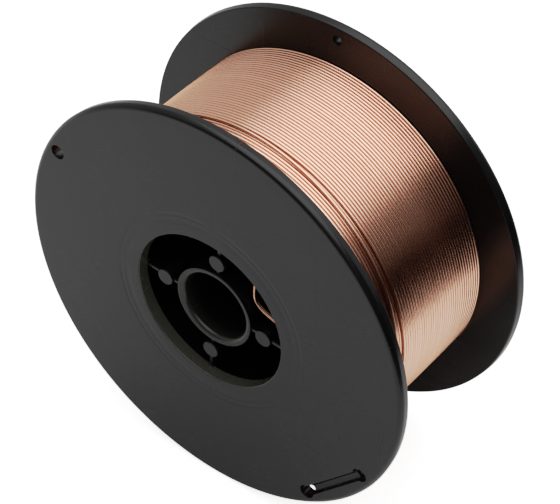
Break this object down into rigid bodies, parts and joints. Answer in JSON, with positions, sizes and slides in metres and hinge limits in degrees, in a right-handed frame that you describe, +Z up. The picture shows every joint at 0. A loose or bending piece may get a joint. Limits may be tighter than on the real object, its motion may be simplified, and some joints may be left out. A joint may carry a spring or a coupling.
{
  "type": "wire spool",
  "caption": "Flanged plastic spool of copper-coated welding wire, with a ribbed hub, a central spindle bore and a channel for the wire's end in one flange.",
  "frame": {"origin": "middle of the spindle bore, which is also the middle of the spool", "axes": "+Y along the spindle bore, away from the flange with the wire channel; +Z up as the spool stands on its two rims"},
  "size_m": [0.1006, 0.0454, 0.1006],
  "materials": {
    "spool_plastic": "injection-moulded black plastic, fine satin texture",
    "copper_wire": "bright drawn steel wire with a thin copper coating"
  },
  "bodies": {
    "root": {"spool_half_front": "spool_plastic", "spool_half_rear": "spool_plastic", "wire_winding": "copper_wire", "wire_top_layer": "copper_wire", "wire_last_turn": "copper_wire", "wire_start_tail": "copper_wire"}
  },
  "joints": []
}
